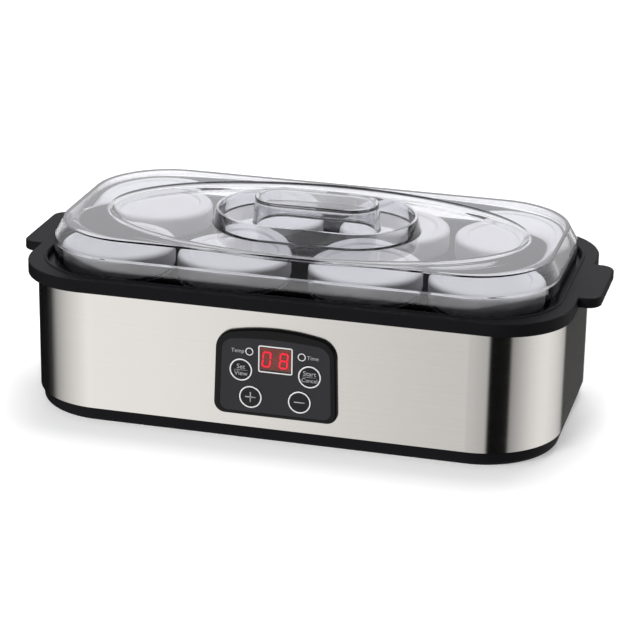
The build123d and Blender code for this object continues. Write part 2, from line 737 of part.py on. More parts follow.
def make_sensor_lead():
    """Lead from the probe to a socket edge of the power board."""
    start_x = SENSOR_X + SENSOR_LENGTH / 2
    turn_x = start_x + LEAD_STRAIGHT
    level = power_top + LEAD_DIAMETER
    edge = POWER_CENTRE[0] - POWER_LENGTH / 2 + SENSOR_LEAD_INSET
    step_x, step_y, step_z = SENSOR_LEAD_STEP
    return wire([
        (start_x, 0, element_level),
        (turn_x, 0, element_level),
        (turn_x + step_x, step_y, level + step_z),
        (edge, step_y, level),
    ], LEAD_DIAMETER)


# ---------------------------------------------------------------- control panel
def make_control_bezel():
    """Arched bezel: proud face with a sunk field, a plug through the steel and four board bosses."""
    bezel = front_sheet(panel_plan(0), panel_face, front)
    bezel = fillet(bezel.edges().group_by(Axis.Y)[0], PANEL_EDGE)
    bezel += front_sheet(panel_plan(PLUG_INSET), front, plug_back)
    for x, z in boss_places:
        bezel += rod_y(x, z, plug_back, board_front, BOSS_DIAMETER)
        bezel -= rod_y(x, z, front, board_front, BOARD_SCREW + 2 * FIT)
    bezel -= front_sheet(overlay_plan(0), panel_face - OVERCUT, overlay_back)
    for x, z in button_places.values():
        bezel -= rod_y(x, z, panel_face - OVERCUT, pocket_floor, BUTTON_DIAMETER + 2 * LOOSE)
        bezel -= rod_y(x, z, pocket_floor, plug_back, BUTTON_STEM + 2 * FIT)
    for side in (-1, 1):
        x, z = side * INDICATOR_PLACE[0], INDICATOR_PLACE[1]
        bezel -= rod_y(x, z, panel_face - OVERCUT, plug_back, INDICATOR_DIAMETER + 2 * FIT)
    window = Pos(0, DISPLAY_CENTRE) * Rectangle(DISPLAY_WIDTH, DISPLAY_HEIGHT)
    return bezel - front_sheet(window, panel_face - OVERCUT, plug_back)


def overlay_plan(inset):
    """Outline of the grey field inside the bezel."""
    return arched_plan(
        PANEL_HALF_BOTTOM - OVERLAY_INSET - inset,
        PANEL_HALF_TOP - OVERLAY_INSET - inset,
        OVERLAY_BOTTOM + inset,
        OVERLAY_SHOULDER - inset,
        OVERLAY_CROWN - inset,
        OVERLAY_LOW_RADIUS,
        OVERLAY_HIGH_RADIUS,
    )


def make_panel_overlay():
    """Thin printed field with openings for the buttons, the display and the two indicators."""
    sheet = front_sheet(overlay_plan(FIT), overlay_face, overlay_back)
    for x, z in button_places.values():
        sheet -= rod_y(x, z, overlay_face - OVERCUT, overlay_back + OVERCUT, BUTTON_DIAMETER + 2 * LOOSE)
    for side in (-1, 1):
        x, z = side * INDICATOR_PLACE[0], INDICATOR_PLACE[1]
        sheet -= rod_y(x, z, overlay_face - OVERCUT, overlay_back + OVERCUT, INDICATOR_DIAMETER + 2 * FIT)
    window = Pos(0, DISPLAY_CENTRE) * Rectangle(DISPLAY_WIDTH, DISPLAY_HEIGHT)
    return sheet - front_sheet(window, overlay_face - OVERCUT, overlay_back + OVERCUT)


def make_display_window():
    """Tinted clear window over the digits."""
    pane = Pos(0, DISPLAY_CENTRE) * Rectangle(DISPLAY_WIDTH - 2 * FIT, DISPLAY_HEIGHT - 2 * FIT)
    return front_sheet(pane, overlay_face, overlay_face + WINDOW_THICKNESS)


def make_display_module():
    """Two-digit display block, standing on the control board behind the window."""
    face = Pos(0, DISPLAY_CENTRE) * Rectangle(MODULE_WIDTH, MODULE_HEIGHT)
    return front_sheet(face, overlay_face + WINDOW_THICKNESS + LOOSE, board_front)


def make_button(x, z):
    """Round button with a guided stem that reaches its switch."""
    button = rod_y(x, z, button_face, button_back, BUTTON_DIAMETER)
    button = fillet(button.edges().group_by(Axis.Y)[0], BUTTON_EDGE)
    return button + rod_y(x, z, button_back, stem_end, BUTTON_STEM)


def make_indicator(side):
    """Light pipe from an indicator lamp on the board to the panel face."""
    x, z = side * INDICATOR_PLACE[0], INDICATOR_PLACE[1]
    pipe = rod_y(x, z, overlay_face - LOOSE, board_front, INDICATOR_DIAMETER)
    return fillet(pipe.edges().group_by(Axis.Y)[0], LOOSE)


def make_panel_retainer():
    """Frame that clamps the bezel to the steel from behind, between the steel and the board."""
    frame = front_sheet(panel_plan(-RETAINER_OVERLAP), front + STEEL, board_front)
    frame -= front_sheet(panel_plan(PLUG_INSET + RETAINER_WALL), front, board_front)
    frame -= front_sheet(panel_plan(PLUG_INSET - LOOSE), front, plug_back + LOOSE)
    for x, z in boss_places:
        frame -= rod_y(x, z, front, board_front, BOSS_DIAMETER + 2 * LOOSE)
    return frame


def make_control_board():
    """Printed circuit board behind the panel."""
    outline = Pos(0, (BOARD_BOTTOM + BOARD_TOP) / 2) * Rectangle(BOARD_WIDTH, BOARD_TOP - BOARD_BOTTOM)
    board = front_sheet(outline, board_front, board_back)
    for x, z in boss_places:
        board -= rod_y(x, z, board_front - OVERCUT, board_back + OVERCUT, BOARD_SCREW + 2 * LOOSE)
    return board


def make_board_screws():
    """Four screws that hold the control board to the bezel."""
    screws = []
    for x, z in boss_places:
        screw = rod_y(x, z, board_back, board_back + BOARD_SCREW_HEAD_HEIGHT, BOARD_SCREW_HEAD)
        screws.append(screw + rod_y(x, z, plug_back, board_back, BOARD_SCREW))
    return Compound(children=screws)


def make_tact_switches():
    """Four push switches on the control board, one behind each button."""
    switches = []
    for x, z in button_places.values():
        body = Pos(x, board_front - SWITCH_BODY / 2, z) * Box(SWITCH_SIDE, SWITCH_BODY, SWITCH_SIDE)
        switches.append(body + rod_y(x, z, switch_tip, board_front - SWITCH_BODY, SWITCH_PLUNGER))
    return Compound(children=switches)


# ---------------------------------------------------------------- jars
def make_jar(x, y):
    """Glass jar turned about its own axis, with a rounded foot and a narrower neck."""
    neck = cap_radius - CAP_WALL - NECK_CLEARANCE
    glass_top = cap_top - CAP_PLATE
    shoulder = cap_bottom - NECK_SHOULDER
    outside = rod(0, 0, jar_floor, shoulder, JAR_DIAMETER)
    outside = fillet(outside.edges().group_by(Axis.Z)[0], JAR_FOOT_EDGE)
    outside = fillet(outside.edges().group_by(Axis.Z)[-1], (jar_radius - neck) * NECK_ROUNDING)
    outside += rod(0, 0, shoulder, glass_top, 2 * neck)
    inside = rod(0, 0, jar_floor + JAR_BOTTOM, shoulder - JAR_GLASS, 2 * (jar_radius - JAR_GLASS))
    inside = fillet(inside.edges().group_by(Axis.Z)[0], JAR_FOOT_EDGE)
    inside += rod(0, 0, shoulder - JAR_GLASS, glass_top, 2 * (neck - JAR_GLASS))
    return Pos(x, y, 0) * (outside - inside)


def make_jar_cap(x, y):
    """White push-on cap with a thick rounded edge and a shallow dished top."""
    cap = rod(0, 0, cap_bottom, cap_top, CAP_DIAMETER)
    cap = fillet(cap.edges().group_by(Axis.Z)[-1], CAP_EDGE)
    cap -= rod(0, 0, cap_bottom, cap_top - CAP_PLATE, CAP_DIAMETER - 2 * CAP_WALL)
    dish = tapered(
        Circle(CAP_DISH_DIAMETER / 2 - CAP_DISH_SLOPE),
        Circle(CAP_DISH_DIAMETER / 2),
        cap_top - CAP_DISH_DEPTH,
        cap_top,
    )
    return Pos(x, y, 0) * (cap - dish)


# ---------------------------------------------------------------- lid
def make_lid():
    """Clear lid: skirt, sloped shoulder, wide oval recess, raised ridge and a hollow central grip."""
    foot = RectangleRounded(2 * lid_x, 2 * lid_y, LID_CORNER)
    crown_corner = LID_CORNER - LID_CORNER_DRAW
    crown = RectangleRounded(2 * (lid_x - LID_SLOPE_END), 2 * (lid_y - LID_SLOPE_SIDE), crown_corner)
    shell = slab(lid_x, lid_y, LID_CORNER, flange_top, lid_shoulder)
    shell += tapered(foot, crown, lid_shoulder, lid_top)
    shell = fillet(shell.edges().group_by(Axis.Z)[-1], LID_TOP_EDGE)
    shell -= Pos(0, 0, recess_floor) * extrude(Ellipse(recess_x, recess_y), RECESS_DEPTH)

    inner_x = lid_x - LID_WALL
    inner_y = lid_y - LID_WALL
    inner_corner = LID_CORNER - LID_WALL
    inner_foot = RectangleRounded(2 * inner_x, 2 * inner_y, inner_corner)
    inner_crown_x = inner_x - LID_SLOPE_END
    inner_crown_y = inner_y - LID_SLOPE_SIDE
    inner_crown = RectangleRounded(2 * inner_crown_x, 2 * inner_crown_y, inner_corner - LID_CORNER_DRAW)
    inner_shoulder = lid_shoulder - LID_WALL / 2
    hollow = slab(inner_x, inner_y, inner_corner, flange_top, inner_shoulder)
    hollow += tapered(inner_foot, inner_crown, inner_shoulder, lid_top - LID_WALL)
    under_recess = Ellipse(recess_x + LID_WALL, recess_y + LID_WALL)
    hollow -= Pos(0, 0, recess_floor - LID_WALL) * extrude(under_recess, RECESS_DEPTH + LID_WALL)
    shell -= hollow

    ridge = tapered(
        stadium(RIDGE_LENGTH + 2 * RIDGE_FLARE, RIDGE_DEPTH + 2 * RIDGE_FLARE),
        stadium(RIDGE_LENGTH, RIDGE_DEPTH),
        recess_floor - LID_WALL / 2,
        recess_floor + RIDGE_HEIGHT,
    )
    ridge = fillet(ridge.edges().group_by(Axis.Z)[-1], RIDGE_EDGE)
    well = stadium(RIDGE_LENGTH - 2 * RIDGE_WALL, RIDGE_DEPTH - 2 * RIDGE_WALL)
    ridge -= Pos(0, 0, recess_floor) * extrude(well, RIDGE_HEIGHT)

    grip = tapered(
        stadium(GRIP_LENGTH + 2 * GRIP_FLARE, GRIP_DEPTH + 2 * GRIP_FLARE),
        stadium(GRIP_LENGTH, GRIP_DEPTH),
        recess_floor - LID_WALL / 2,
        recess_floor + GRIP_HEIGHT,
    )
    grip = fillet(grip.edges().group_by(Axis.Z)[-1], GRIP_EDGE)
    grip_hollow = tapered(
        stadium(GRIP_LENGTH + 2 * GRIP_FLARE - 2 * LID_WALL, GRIP_DEPTH + 2 * GRIP_FLARE - 2 * LID_WALL),
        stadium(GRIP_LENGTH - 2 * LID_WALL, GRIP_DEPTH - 2 * LID_WALL),
        recess_floor - 2 * LID_WALL,
        recess_floor + GRIP_HEIGHT - LID_WALL,
    )
    return shell + ridge + grip - grip_hollow


# ---------------------------------------------------------------- one file per piece
def all_parts():
    """Every piece of the object by node name."""
    parts = {
        "base_tray": make_base_tray(),
        "rubber_feet": make_rubber_feet(),
        "base_screws": make_base_screws(),
        "steel_band": make_steel_band(),
        "rim_frame": make_rim_frame(),
        "inner_tub": make_inner_tub(),
        "heater_plate": make_heater_plate(),
        "plate_push_nuts": make_push_nuts(),
        "heating_element": make_heating_element(),
        "element_clips": make_element_clips(),
        "crimp_ferrules": make_ferrules(),
        "heater_leads": make_heater_leads(),
        "thermal_fuse": make_thermal_fuse(),
        "temperature_sensor": make_temperature_sensor(),
        "sensor_clips": make_sensor_clips(),
        "sensor_lead": make_sensor_lead(),
        "power_board": make_power_board(),
        "power_board_screws": make_power_screws(),
        "relay": on_board(*RELAY, COMPONENT_EDGE),
        "transformer": on_board(*TRANSFORMER, COMPONENT_EDGE),
        "filter_capacitor": on_board(*CAPACITOR, COMPONENT_EDGE),
        "terminal_block": make_terminal_block(),
        "ribbon_headers": make_ribbon_headers(),
        "ribbon_cable": make_ribbon_cable(),
        "cord_gland": make_cord_gland(),
        "control_bezel": make_control_bezel(),
        "panel_overlay": make_panel_overlay(),
        "panel_retainer": make_panel_retainer(),
        "display_window": make_display_window(),
        "display_module": make_display_module(),
        "indicator_temp": make_indicator(-1),
        "indicator_time": make_indicator(1),
        "control_board": make_control_board(),
        "control_board_screws": make_board_screws(),
        "tact_switches": make_tact_switches(),
        "lid": make_lid(),
    }
    for name, place in button_places.items():
        parts[name] = make_button(*place)
    for number, (x, y) in enumerate(jar_places, 1):
        parts[f"jar_{number}"] = make_jar(x, y)
        parts[f"jar_cap_{number}"] = make_jar_cap(x, y)
    return parts


def main():
    """Write one STEP file per piece."""
    os.makedirs("parts", exist_ok=True)
    for name, shape in all_parts().items():
        export_step(shape, f"parts/{name}.step")


main()
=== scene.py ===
import json
import math

import bmesh
import bpy
import numpy as np
from mathutils import Matrix, Vector


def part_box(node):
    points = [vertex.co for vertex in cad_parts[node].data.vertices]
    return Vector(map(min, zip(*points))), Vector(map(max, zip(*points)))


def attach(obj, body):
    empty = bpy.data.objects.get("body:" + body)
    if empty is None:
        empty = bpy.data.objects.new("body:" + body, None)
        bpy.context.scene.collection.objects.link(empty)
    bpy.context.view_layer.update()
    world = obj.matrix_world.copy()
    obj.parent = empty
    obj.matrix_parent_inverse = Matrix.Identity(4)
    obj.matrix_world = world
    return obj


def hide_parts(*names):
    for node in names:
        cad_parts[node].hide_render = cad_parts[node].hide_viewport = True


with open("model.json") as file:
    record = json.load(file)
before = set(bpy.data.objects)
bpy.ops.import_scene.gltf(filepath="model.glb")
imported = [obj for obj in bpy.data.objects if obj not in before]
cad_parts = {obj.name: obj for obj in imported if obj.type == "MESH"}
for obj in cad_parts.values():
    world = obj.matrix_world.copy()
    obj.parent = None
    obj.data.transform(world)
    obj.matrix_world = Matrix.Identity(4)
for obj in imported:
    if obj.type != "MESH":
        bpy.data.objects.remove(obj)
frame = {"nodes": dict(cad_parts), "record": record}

# Looks of an eight-jar yogurt maker.  Lengths are written in millimetres and turned to metres by MM.
MM = 0.001
TURN = 2 * math.pi
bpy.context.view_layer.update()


# ---------------------------------------------------------------- colours and shader nodes
def linear(shade, alpha=1.0):
    """Linear colour of an sRGB hex value: c / 12.92 below 0.04045, else ((c + 0.055) / 1.055) ** 2.4."""
    srgb = np.array([int(shade[i:i + 2], 16) for i in (1, 3, 5)]) / 255
    flat = np.where(srgb <= 0.04045, srgb / 12.92, ((srgb + 0.055) / 1.055) ** 2.4)
    return (*flat.tolist(), alpha)


def add(tree, kind, settings=None, **inputs):
    """A shader node with its settings, and with each named input set to a value or linked to a socket."""
    node = tree.nodes.new("ShaderNode" + kind)
    for name, value in (settings or {}).items():
        setattr(node, name, value)
    for name, value in inputs.items():
        key = int(name[1:]) if name[1:].isdigit() else name.replace("_", " ")
        if isinstance(value, bpy.types.NodeSocket):
            tree.links.new(value, node.inputs[key])
        else:
            node.inputs[key].default_value = value
    return node


def new_tree(name):
    """An empty node material and its tree."""
    material = bpy.data.materials.new(name)
    material.use_nodes = True
    material.node_tree.nodes.clear()
    return material, material.node_tree


def grain(tree, size_mm, stretch=(1, 1, 1), detail=2.0):
    """Noise on Object coordinates with lumps size_mm across, drawn out by stretch along each axis."""
    place = add(tree, "TexCoord").outputs["Object"]
    scale = [1 / (size_mm * MM * s) for s in stretch]
    spread = add(tree, "Mapping", Vector=place, Scale=scale)
    noise = add(tree, "TexNoise", Vector=spread.outputs[0], Scale=1.0, Detail=detail)
    return noise.outputs["Fac"]


def remap(tree, value, low, high):
    """A noise value's middle range, 0.3 to 0.7, spread over low to high."""
    ranged = add(tree, "MapRange", Value=value, From_Min=0.3, From_Max=0.7, To_Min=low, To_Max=high)
    return ranged.outputs["Result"]


def shaded(tree, shade, factor):
    """The colour shade times a factor that varies over the surface."""
    mix = add(tree, "Mix", {"data_type": "RGBA", "blend_type": "MULTIPLY"}, Factor=1.0)
    mix.inputs[6].default_value = linear(shade)
    grey = add(tree, "CombineColor", Red=factor, Green=factor, Blue=factor)
    tree.links.new(grey.outputs[0], mix.inputs[7])
    return mix.outputs[2]


def finish(name, shade, roughness, texture_mm, depth_mm, blotch_mm=25.0, blotch=0.06,
           stretch=(1, 1, 1), **sockets):
    """A surface with fine relief texture_mm across and depth_mm deep, whose colour drifts by the share blotch
    over patches blotch_mm across, and whose roughness follows the relief by an eighth either way."""
    material, tree = new_tree(name)
    fine = grain(tree, texture_mm, stretch)
    broad = grain(tree, blotch_mm, detail=3.0)
    shader = add(tree, "BsdfPrincipled")
    drift = remap(tree, broad, 1 - blotch, 1 + blotch)
    tree.links.new(shaded(tree, shade, drift), shader.inputs["Base Color"])
    tree.links.new(remap(tree, fine, roughness * 0.88, roughness * 1.12), shader.inputs["Roughness"])
    bump = add(tree, "Bump", Strength=1.0, Distance=depth_mm * MM, Height=fine)
    tree.links.new(bump.outputs[0], shader.inputs["Normal"])
    for socket, value in sockets.items():
        shader.inputs[socket.replace("_", " ")].default_value = value
    add(tree, "OutputMaterial", Surface=shader.outputs[0])
    return material


def clear(name, tint, ior, roughness, ripple_mm, ripple_depth_mm, coat=0.0):
    """Clear material that lets the lamps through: it refracts to the eye, and only tints shadow rays.  A coat
    stands for the brighter gloss of a polished mould face."""
    material, tree = new_tree(name)
    ripple = grain(tree, ripple_mm, detail=1.0)
    bump = add(tree, "Bump", Strength=1.0, Distance=ripple_depth_mm * MM, Height=ripple)
    shader = add(tree, "BsdfPrincipled", Normal=bump.outputs[0])
    shader.inputs["Base Color"].default_value = linear(tint)
    shader.inputs["Roughness"].default_value = roughness
    shader.inputs["Transmission Weight"].default_value = 1.0
    shader.inputs["IOR"].default_value = ior
    shader.inputs["Coat Weight"].default_value = coat
    through = add(tree, "BsdfTransparent", Color=linear(tint))
    path = add(tree, "LightPath")
    mix = add(tree, "MixShader", _0=path.outputs["Is Shadow Ray"], _1=shader.outputs[0],
              _2=through.outputs[0])
    add(tree, "OutputMaterial", Surface=mix.outputs[0])
    return material


def lit(name, shade, strength, glass_shade):
    """A lamp segment: a coloured diffuser that glows evenly."""
    material = finish(name, glass_shade, 0.35, 0.5, 0.004, 6.0, 0.05)
    shader = next(n for n in material.node_tree.nodes if n.type == "BSDF_PRINCIPLED")
    shader.inputs["Emission Color"].default_value = linear(shade)
    shader.inputs["Emission Strength"].default_value = strength
    return material


def brushed_steel():
    """Stainless sheet, brushed along its length: fine level streaks and a highlight drawn out upwards.  Real
    scratches are some 0.05 mm wide; they are drawn 0.5 to 0.9 mm wide so that they show."""
    material, tree = new_tree("brushed_stainless_sheet")
    streak = grain(tree, 0.9, (90, 90, 1), 3.0)
    hair = grain(tree, 0.5, (30, 30, 1), 1.0)
    blend = add(tree, "Math", {"operation": "MULTIPLY_ADD"}, _0=hair, _1=0.4, _2=streak)
    level = add(tree, "Math", {"operation": "SUBTRACT"}, _0=blend.outputs[0], _1=0.2)
    tone = remap(tree, level.outputs[0], 0.985, 1.012)
    rough = remap(tree, level.outputs[0], 0.14, 0.17)
    bump = add(tree, "Bump", Strength=1.0, Distance=0.0008 * MM, Height=level.outputs[0])
    along = add(tree, "Tangent", {"direction_type": "RADIAL", "axis": "Z"})
    shader = add(tree, "BsdfPrincipled", Metallic=1.0, Roughness=rough, Normal=bump.outputs[0])
    tree.links.new(shaded(tree, "#DEDBD6", tone), shader.inputs["Base Color"])
    tree.links.new(along.outputs[0], shader.inputs["Tangent"])
    shader.inputs["Anisotropic"].default_value = 0.95
    shader.inputs["Anisotropic Rotation"].default_value = 0.25
    add(tree, "OutputMaterial", Surface=shader.outputs[0])
    return material


paints = {
    # ABS moulded in a fine spark-eroded mould: deep black with a soft, broad sheen
    "black_abs": finish("satin_black_abs", "#151517", 0.48, 0.35, 0.005, Specular_IOR_Level=0.07),
    # EPDM rubber: dull and slightly grey
    "foot_rubber": finish("black_epdm_rubber", "#1E1E1E", 0.8, 0.8, 0.02, 8.0, 0.12),
    # Zinc-plated screws and spring clips
    "screw_steel": finish("zinc_plated_steel", "#B9BBBD", 0.35, 0.3, 0.004, 2.0, 0.1, Metallic=1.0),
    "steel_band": brushed_steel(),
    # Polypropylene tub: dark, waxy and a little uneven
    "tub_pp": finish("black_polypropylene", "#0F0F10", 0.45, 1.2, 0.01, 30.0, 0.1, Specular_IOR_Level=0.2),
    # Rolled aluminium: faint lines one way
    "aluminium_plate": finish("rolled_aluminium", "#D5D6D8", 0.32, 0.5, 0.004, 20.0, 0.05, (60, 1, 1),
                              Metallic=1.0),
    # Silicone sleeve over the heating wire
    "element_sheath": finish("red_silicone_sleeve", "#B4452F", 0.6, 0.5, 0.01, 10.0, 0.08),
    # Crimped brass
    "brass_ferrule": finish("crimped_brass", "#D9B872", 0.3, 0.6, 0.02, 3.0, 0.1, Metallic=1.0),
    # Silicone wire insulation
    "lead_jacket": finish("grey_silicone_insulation", "#C8C7C2", 0.55, 0.6, 0.006, 8.0, 0.05),
    # Ceramic-white moulded case
    "component_white": finish("white_component_case", "#E2E0D8", 0.4, 0.4, 0.006, 6.0, 0.04),
    # Epoxy and nylon component bodies
    "component_black": finish("black_component_case", "#2A2A2B", 0.4, 0.4, 0.008, 6.0, 0.08),
    "component_blue": finish("blue_relay_case", "#2A5FA8", 0.35, 0.4, 0.006, 6.0, 0.05),
    "component_yellow": finish("yellow_capacitor_case", "#DDB22A", 0.38, 0.4, 0.006, 6.0, 0.05),
    "terminal_green": finish("green_nylon_terminal", "#3A8C5A", 0.5, 0.4, 0.006, 6.0, 0.06),
    # Glass-fibre laminate under green solder mask: glossy, with the weave faintly telegraphed
    "board_laminate": finish("green_solder_mask", "#1D6B3C", 0.25, 1.2, 0.01, 12.0, 0.12,
                             Coat_Weight=0.4),
    # Ribbed flat cable
    "ribbon_grey": finish("grey_ribbon_cable", "#9A9A9C", 0.5, 1.27, 0.05, 10.0, 0.05, (1, 20, 20)),
    # High-gloss ABS of the panel surround: near mirror-black
    "bezel_gloss": finish("gloss_black_abs", "#060607", 0.16, 2.0, 0.001, 20.0, 0.05,
                          Specular_IOR_Level=0.2),
    # Screen-printed polycarbonate film: dark grey with a very fine matt texture
    "panel_grey": finish("matt_printed_film", "#343335", 0.5, 0.3, 0.003, 18.0, 0.05,
                         Specular_IOR_Level=0.12),
    # Potted display block: dull red-brown
    "display_face": finish("display_potting", "#6B3F34", 0.4, 0.5, 0.004, 5.0, 0.05),
    # Satin button mouldings, a shade darker than the film
    "button_grey": finish("satin_grey_button", "#242325", 0.42, 0.3, 0.003, 6.0, 0.05,
                          Specular_IOR_Level=0.15),
    # Polypropylene caps: milky white with a soft sheen
    "cap_white": finish("white_polypropylene", "#F0F0F2", 0.42, 0.9, 0.008, 18.0, 0.02,
                        Specular_IOR_Level=0.2),
    # White pad-printing ink, slightly raised
    "print_white": finish("white_pad_ink", "#F4F4F4", 0.5, 0.3, 0.004, 4.0, 0.03),
    # Thinner grey ink of the words and signs
    "print_grey": finish("grey_pad_ink", "#B4B4B6", 0.5, 0.3, 0.004, 4.0, 0.04),
    # Red light-emitting segments
    "segment_red": lit("red_display_segments", "#F0203A", 0.9, "#C01020"),
    # Tinted acrylic window over the digits
    "display_tint": clear("red_tinted_window", "#E6A898", 1.49, 0.03, 6.0, 0.001),
    # Frosted light pipe
    "indicator_clear": clear("clear_light_pipe", "#E8E8E8", 1.49, 0.25, 1.0, 0.01),
    # Pressed soda-lime glass: faint waviness
    "jar_glass": clear("pressed_soda_glass", "#F6FBF8", 1.52, 0.0, 16.0, 0.03),
    # Polished styrene acrylonitrile, a clear stiff plastic: glassy, and nearly flat
    "clear_lid": clear("clear_styrene_moulding", "#FBFBFD", 1.57, 0.0, 30.0, 0.004, 0.5),
}


# ---------------------------------------------------------------- meshes from numpy grids
def make_piece(name, points, faces, slot, body, nodes=(), paint=None, flat=False):
    """A mesh piece from points in millimetres and faces, painted, and riding on a CAD body."""
    mesh = bpy.data.meshes.new(name)
    mesh.from_pydata((np.asarray(points, float) * MM).tolist(), [], [list(f) for f in faces])
    mesh.validate()
    mesh.polygons.foreach_set("use_smooth", [not flat] * len(mesh.polygons))
    mesh.materials.append(paints[paint or slot])
    piece = bpy.data.objects.new(name, mesh)
    bpy.context.scene.collection.objects.link(piece)
    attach(piece, body)
    if nodes:
        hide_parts(*nodes)
    return piece


def grid_faces(rows, columns):
    """Quads between neighbouring rows of a grid whose columns close on themselves."""
    i, j = np.meshgrid(np.arange(rows - 1), np.arange(columns), indexing="ij")
    k = (j + 1) % columns
    quads = np.stack([i * columns + j, i * columns + k, (i + 1) * columns + k, (i + 1) * columns + j], -1)
    return quads.reshape(-1, 4).tolist()


def capped_rings(rings, top, bottom):
    """Points and faces of rings in order, closed by a pole before the first and one after the last."""
    rows, columns, _ = rings.shape
    points = np.vstack([rings.reshape(-1, 3), [top], [bottom]])
    j = np.arange(columns)
    k = (j + 1) % columns
    last = (rows - 1) * columns
    pole = np.full(columns, rows * columns)
    fans = np.vstack([np.column_stack([pole, k, j]), np.column_stack([pole + 1, last + j, last + k])])
    return points, grid_faces(rows, columns) + fans.tolist()


def outward(piece):
    """Recalculates a closed mesh's normals to point out."""
    work = bmesh.new()
    work.from_mesh(piece.data)
    bmesh.ops.recalc_face_normals(work, faces=work.faces)
    work.to_mesh(piece.data)
    work.free()
    return piece


# An arc's longest share of a run, the half-angle past which a corner isn't rounded, and how many times the
# rounding a run must measure to take a support row
LONGEST_REACH = 0.45
NEARLY_STRAIGHT = math.radians(89.5)
ROOM_FOR_SUPPORT = 2.5


def rounded_profile(corners, steps=5, support=0.35):
    """Profile through corners (u, z, radius): straight runs joined by arcs tangent to both, with a support
    row close before and after each arc.  An arc of radius r in a corner of half-angle a starts r / tan(a)
    along each run, and never further than LONGEST_REACH of the run."""
    rows = []
    path = [np.array(c[:2], float) for c in corners]
    for index, (u, z, radius) in enumerate(corners):
        here = path[index]
        if index in (0, len(corners) - 1) or radius <= 0:
            rows.append(here)
            continue
        back = path[index - 1] - here
        ahead = path[index + 1] - here
        back_run, ahead_run = np.linalg.norm(back), np.linalg.norm(ahead)
        back, ahead = back / back_run, ahead / ahead_run
        half = math.acos(np.clip(back @ ahead, -1, 1)) / 2
        if half > NEARLY_STRAIGHT:
            rows.append(here)
            continue
        reach = min(radius / math.tan(half), LONGEST_REACH * back_run, LONGEST_REACH * ahead_run)
        radius = reach * math.tan(half)
        middle = here + (back + ahead) / np.linalg.norm(back + ahead) * (radius / math.sin(half))
        start, end = here + back * reach, here + ahead * reach
        if back_run > ROOM_FOR_SUPPORT * (reach + support):
            rows.append(start + back * support)
        a, b = start - middle, end - middle
        sweep = math.acos(np.clip(a @ b / radius ** 2, -1, 1))
        for t in np.linspace(0, 1, steps):
            turned = math.sin((1 - t) * sweep) * a + math.sin(t * sweep) * b
            rows.append(middle + turned / math.sin(sweep))
        if ahead_run > ROOM_FOR_SUPPORT * (reach + support):
            rows.append(end + ahead * support)
    return np.array(rows)


# ---------------------------------------------------------------- jars and caps
def revolve(name, profile, centre, slot, body, nodes, columns=96):
    """Surface of revolution: each profile row (radius, z) becomes a ring about a vertical axis through
    centre.  The first and last rows lie near the axis and are closed by poles."""
    angle = np.arange(columns) / columns * TURN
    radius, z = profile[:, :1], profile[:, 1:]
    rings = np.stack([centre[0] + radius * np.cos(angle), centre[1] + radius * np.sin(angle),
                      np.broadcast_to(z, (len(profile), columns))], -1)
    top = (centre[0], centre[1], profile[0, 1])
    bottom = (centre[0], centre[1], profile[-1, 1])
    points, faces = capped_rings(rings, top, bottom)
    return outward(make_piece(name, points, faces, slot, body, nodes))


# Cap: a sunk middle inside a raised rim, a plain side with a fine step above its foot, and a thin inner wall
CAP_RADIUS = 35.75
CAP_TOP = 106.0
CAP_BOTTOM = 92.0
cap_profile = rounded_profile([
    (0.6, CAP_TOP - 1.2, 0), (26.6, CAP_TOP - 1.2, 0.8), (27.8, CAP_TOP, 0.7), (CAP_RADIUS, CAP_TOP, 3.5),
    (CAP_RADIUS, CAP_BOTTOM + 1.6, 0.3), (CAP_RADIUS - 0.25, CAP_BOTTOM + 1.3, 0.2),
    (CAP_RADIUS - 0.25, CAP_BOTTOM, 0.4), (33.9, CAP_BOTTOM, 0.3),
    (33.75, CAP_TOP - 2.6, 0.5), (0.6, CAP_TOP - 2.6, 0),
], 6)
# Jar: thick pressed floor with a pushed-up middle, straight wall, rounded shoulder and plain neck
JAR_RADIUS = 35.0
NECK = 33.45
JAR_FLOOR = 32.0
MOUTH = 103.4
jar_profile = rounded_profile([
    (0.6, JAR_FLOOR + 4.6, 0), (18.0, JAR_FLOOR + 4.3, 8), (32.0, JAR_FLOOR + 4.0, 5.0), (32.0, 88.5, 1.2),
    (30.45, 90.5, 1.2), (30.45, MOUTH, 1.2), (NECK, MOUTH, 1.2), (NECK, 91.5, 0.5), (JAR_RADIUS, 90.6, 1.0),
    (JAR_RADIUS, JAR_FLOOR, 5.0), (27.0, JAR_FLOOR, 1.0), (24.0, JAR_FLOOR + 1.0, 2.0),
    (0.6, JAR_FLOOR + 1.3, 0),
], 6)
JAR_NUMBERS = range(1, 9)
for number in JAR_NUMBERS:
    cap, jar = f"jar_cap_{number}", f"jar_{number}"
    low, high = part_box(cap)
    middle = ((low.x + high.x) / 2 / MM, (low.y + high.y) / 2 / MM)
    revolve(f"cap_{number}", cap_profile, middle, "cap_white", cap, (cap,))
    revolve(f"glass_{number}", jar_profile, middle, "jar_glass", jar, (jar,))


# ---------------------------------------------------------------- lid
LID_POINTS = 320
lid_angle = np.arange(LID_POINTS) / LID_POINTS * TURN
lid_ray = np.stack([2 * np.cos(lid_angle), np.sin(lid_angle)], -1)
lid_ray /= np.linalg.norm(lid_ray, axis=1, keepdims=True)


